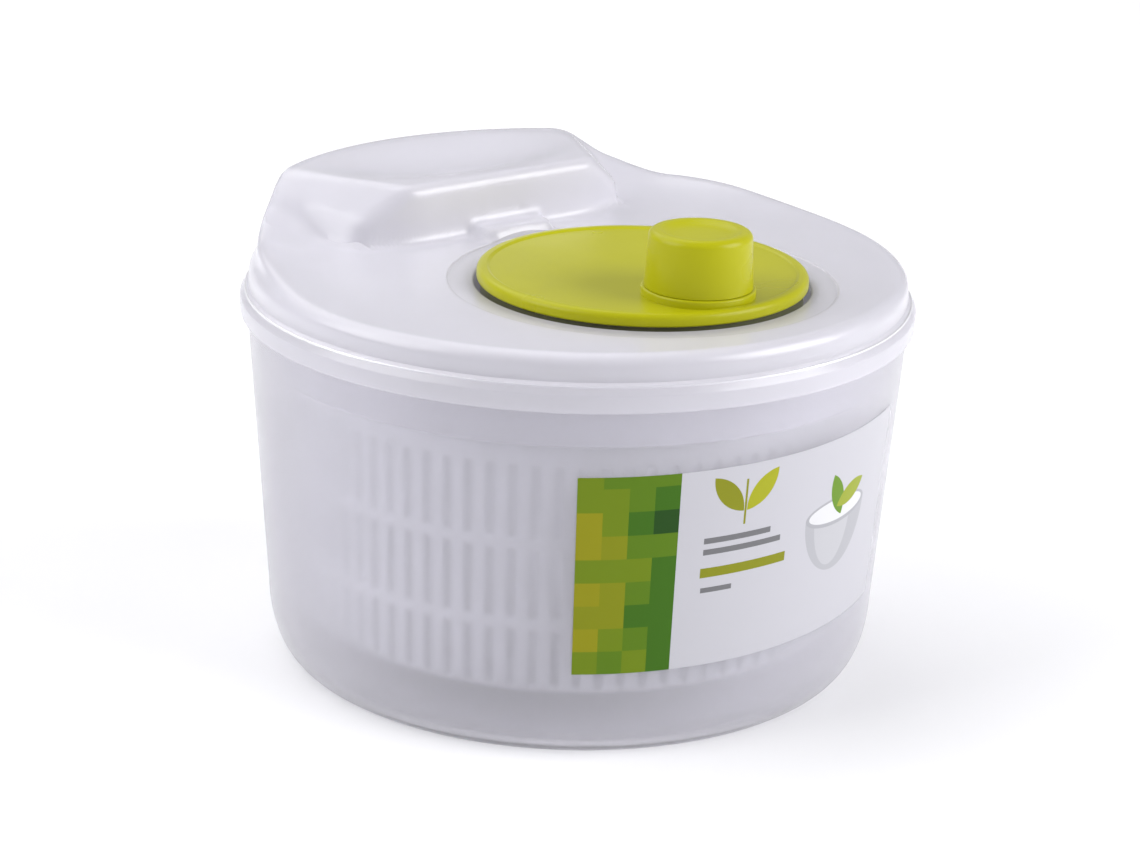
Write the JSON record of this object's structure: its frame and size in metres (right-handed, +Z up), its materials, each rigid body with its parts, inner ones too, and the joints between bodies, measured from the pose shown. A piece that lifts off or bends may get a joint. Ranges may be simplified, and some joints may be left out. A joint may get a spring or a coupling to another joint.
{
  "type": "salad spinner",
  "caption": "Round salad spinner: frosted bowl, slotted basket on a centre pin, and a lid with a hand grip and an offset crank disc that spins the basket through an internal gear.",
  "frame": {"origin": "on the surface the bowl stands on, under the bowl's axis", "axes": "+Z up along the bowl's axis, +Y from the crank towards the lid's hand grip"},
  "size_m": [0.208, 0.208, 0.1479],
  "materials": {
    "frosted_clear": "frosted translucent polypropylene",
    "white_plastic": "natural white polypropylene, satin",
    "green_plastic": "lime green, satin gloss",
    "acetal": "natural acetal, smooth",
    "steel": "stainless steel",
    "printed_film": "printed adhesive film"
  },
  "bodies": {
    "bowl": {"bowl": "frosted_clear", "label_film": "printed_film", "pivot_pin": "steel"},
    "pivot": {"pivot_cup": "acetal"},
    "basket": {"basket": "white_plastic"},
    "lid": {"lid": "frosted_clear", "crank_bush": "acetal", "drive_bush": "acetal"},
    "crank": {"crank_disc": "green_plastic", "ring_gear": "acetal", "gear_screws": "steel", "crank_washer": "steel", "crank_screw": "steel"},
    "knob": {"knob": "green_plastic", "knob_washer": "steel", "knob_screw": "steel"},
    "drive": {"pinion": "acetal", "thrust_washer": "steel", "drive_shaft": "steel", "drive_plate": "white_plastic", "drive_washer": "steel", "drive_screw": "steel"}
  },
  "joints": [
    {"name": "lid_lift", "type": "slide", "parent": "bowl", "child": "lid", "axis": [0, 0, 1], "range_m": [0, 0.22]},
    {"name": "crank_spin", "type": "hinge", "parent": "lid", "child": "crank", "pos_m": [0, -0.03, 0.1253], "axis": [0, 0, 1], "continuous": true},
    {"name": "knob_spin", "type": "hinge", "parent": "crank", "child": "knob", "pos_m": [-0.00357, -0.05908, 0.131], "axis": [0, 0, 1], "continuous": true},
    {"name": "drive_spin", "type": "hinge", "parent": "lid", "child": "drive", "pos_m": [0, 0, 0.112], "axis": [0, 0, 1], "continuous": true},
    {"name": "pivot_spin", "type": "hinge", "parent": "bowl", "child": "pivot", "pos_m": [0, 0, 0.0083], "axis": [0, 0, 1], "continuous": true},
    {"name": "basket_lift", "type": "slide", "parent": "pivot", "child": "basket", "axis": [0, 0, 1], "range_m": [0, 0.11]}
  ],
  "couplings": [
    {"joint": "drive_spin", "follows": "crank_spin", "ratio": 3.5},
    {"joint": "pivot_spin", "follows": "crank_spin", "ratio": 3.5},
    {"joint": "basket_lift", "follows": "lid_lift", "ratio": 0.5}
  ]
}
